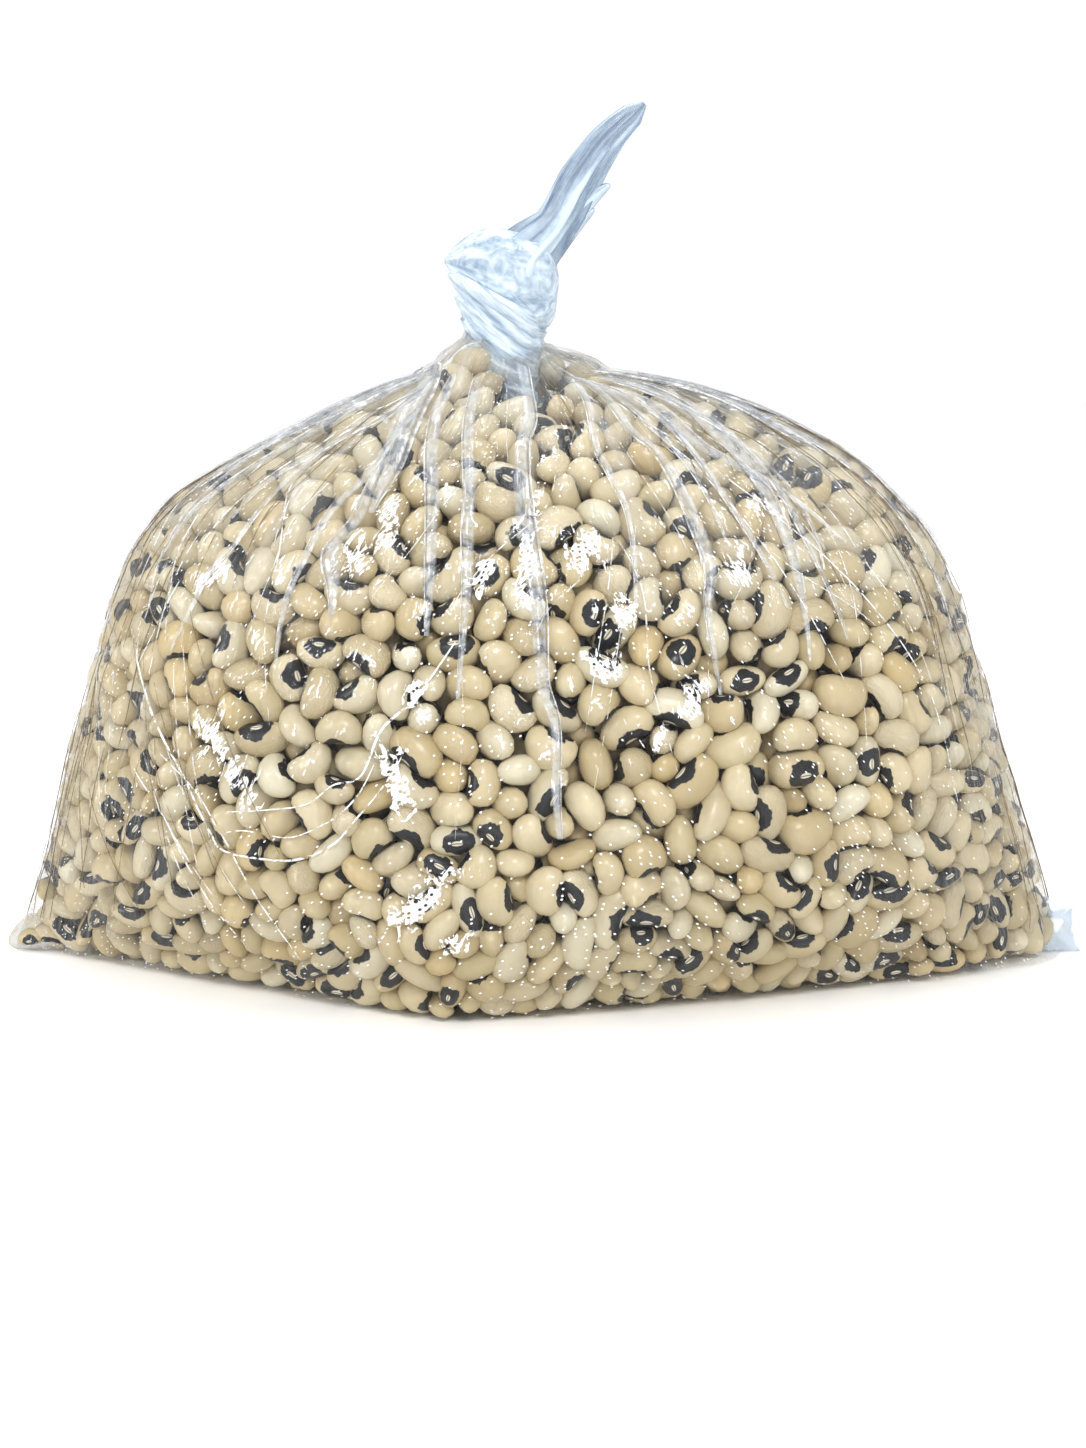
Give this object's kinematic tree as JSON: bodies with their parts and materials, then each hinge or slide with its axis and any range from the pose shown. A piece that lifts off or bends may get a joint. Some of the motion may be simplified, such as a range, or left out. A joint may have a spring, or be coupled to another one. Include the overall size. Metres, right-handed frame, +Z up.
{
  "type": "bag of dried beans",
  "caption": "Clear plastic bag packed tight with dried black-eyed beans, standing on its flat base, its neck gathered into a knot with a loose tail.",
  "frame": {"origin": "on the floor, under the middle of the bag, in the flat base", "axes": "+X runs to the bag's right corner, -Y to its front and +Z up"},
  "size_m": [0.2039, 0.1035, 0.156],
  "materials": {
    "clear_film": "clear low-density polyethylene film, glossy, thin and gathered, over the beans",
    "dried_beans": "dried bean skin, cream with a black eye, smooth and half matt"
  },
  "bodies": {
    "root": {"filled_bag": "clear_film"}
  },
  "joints": []
}
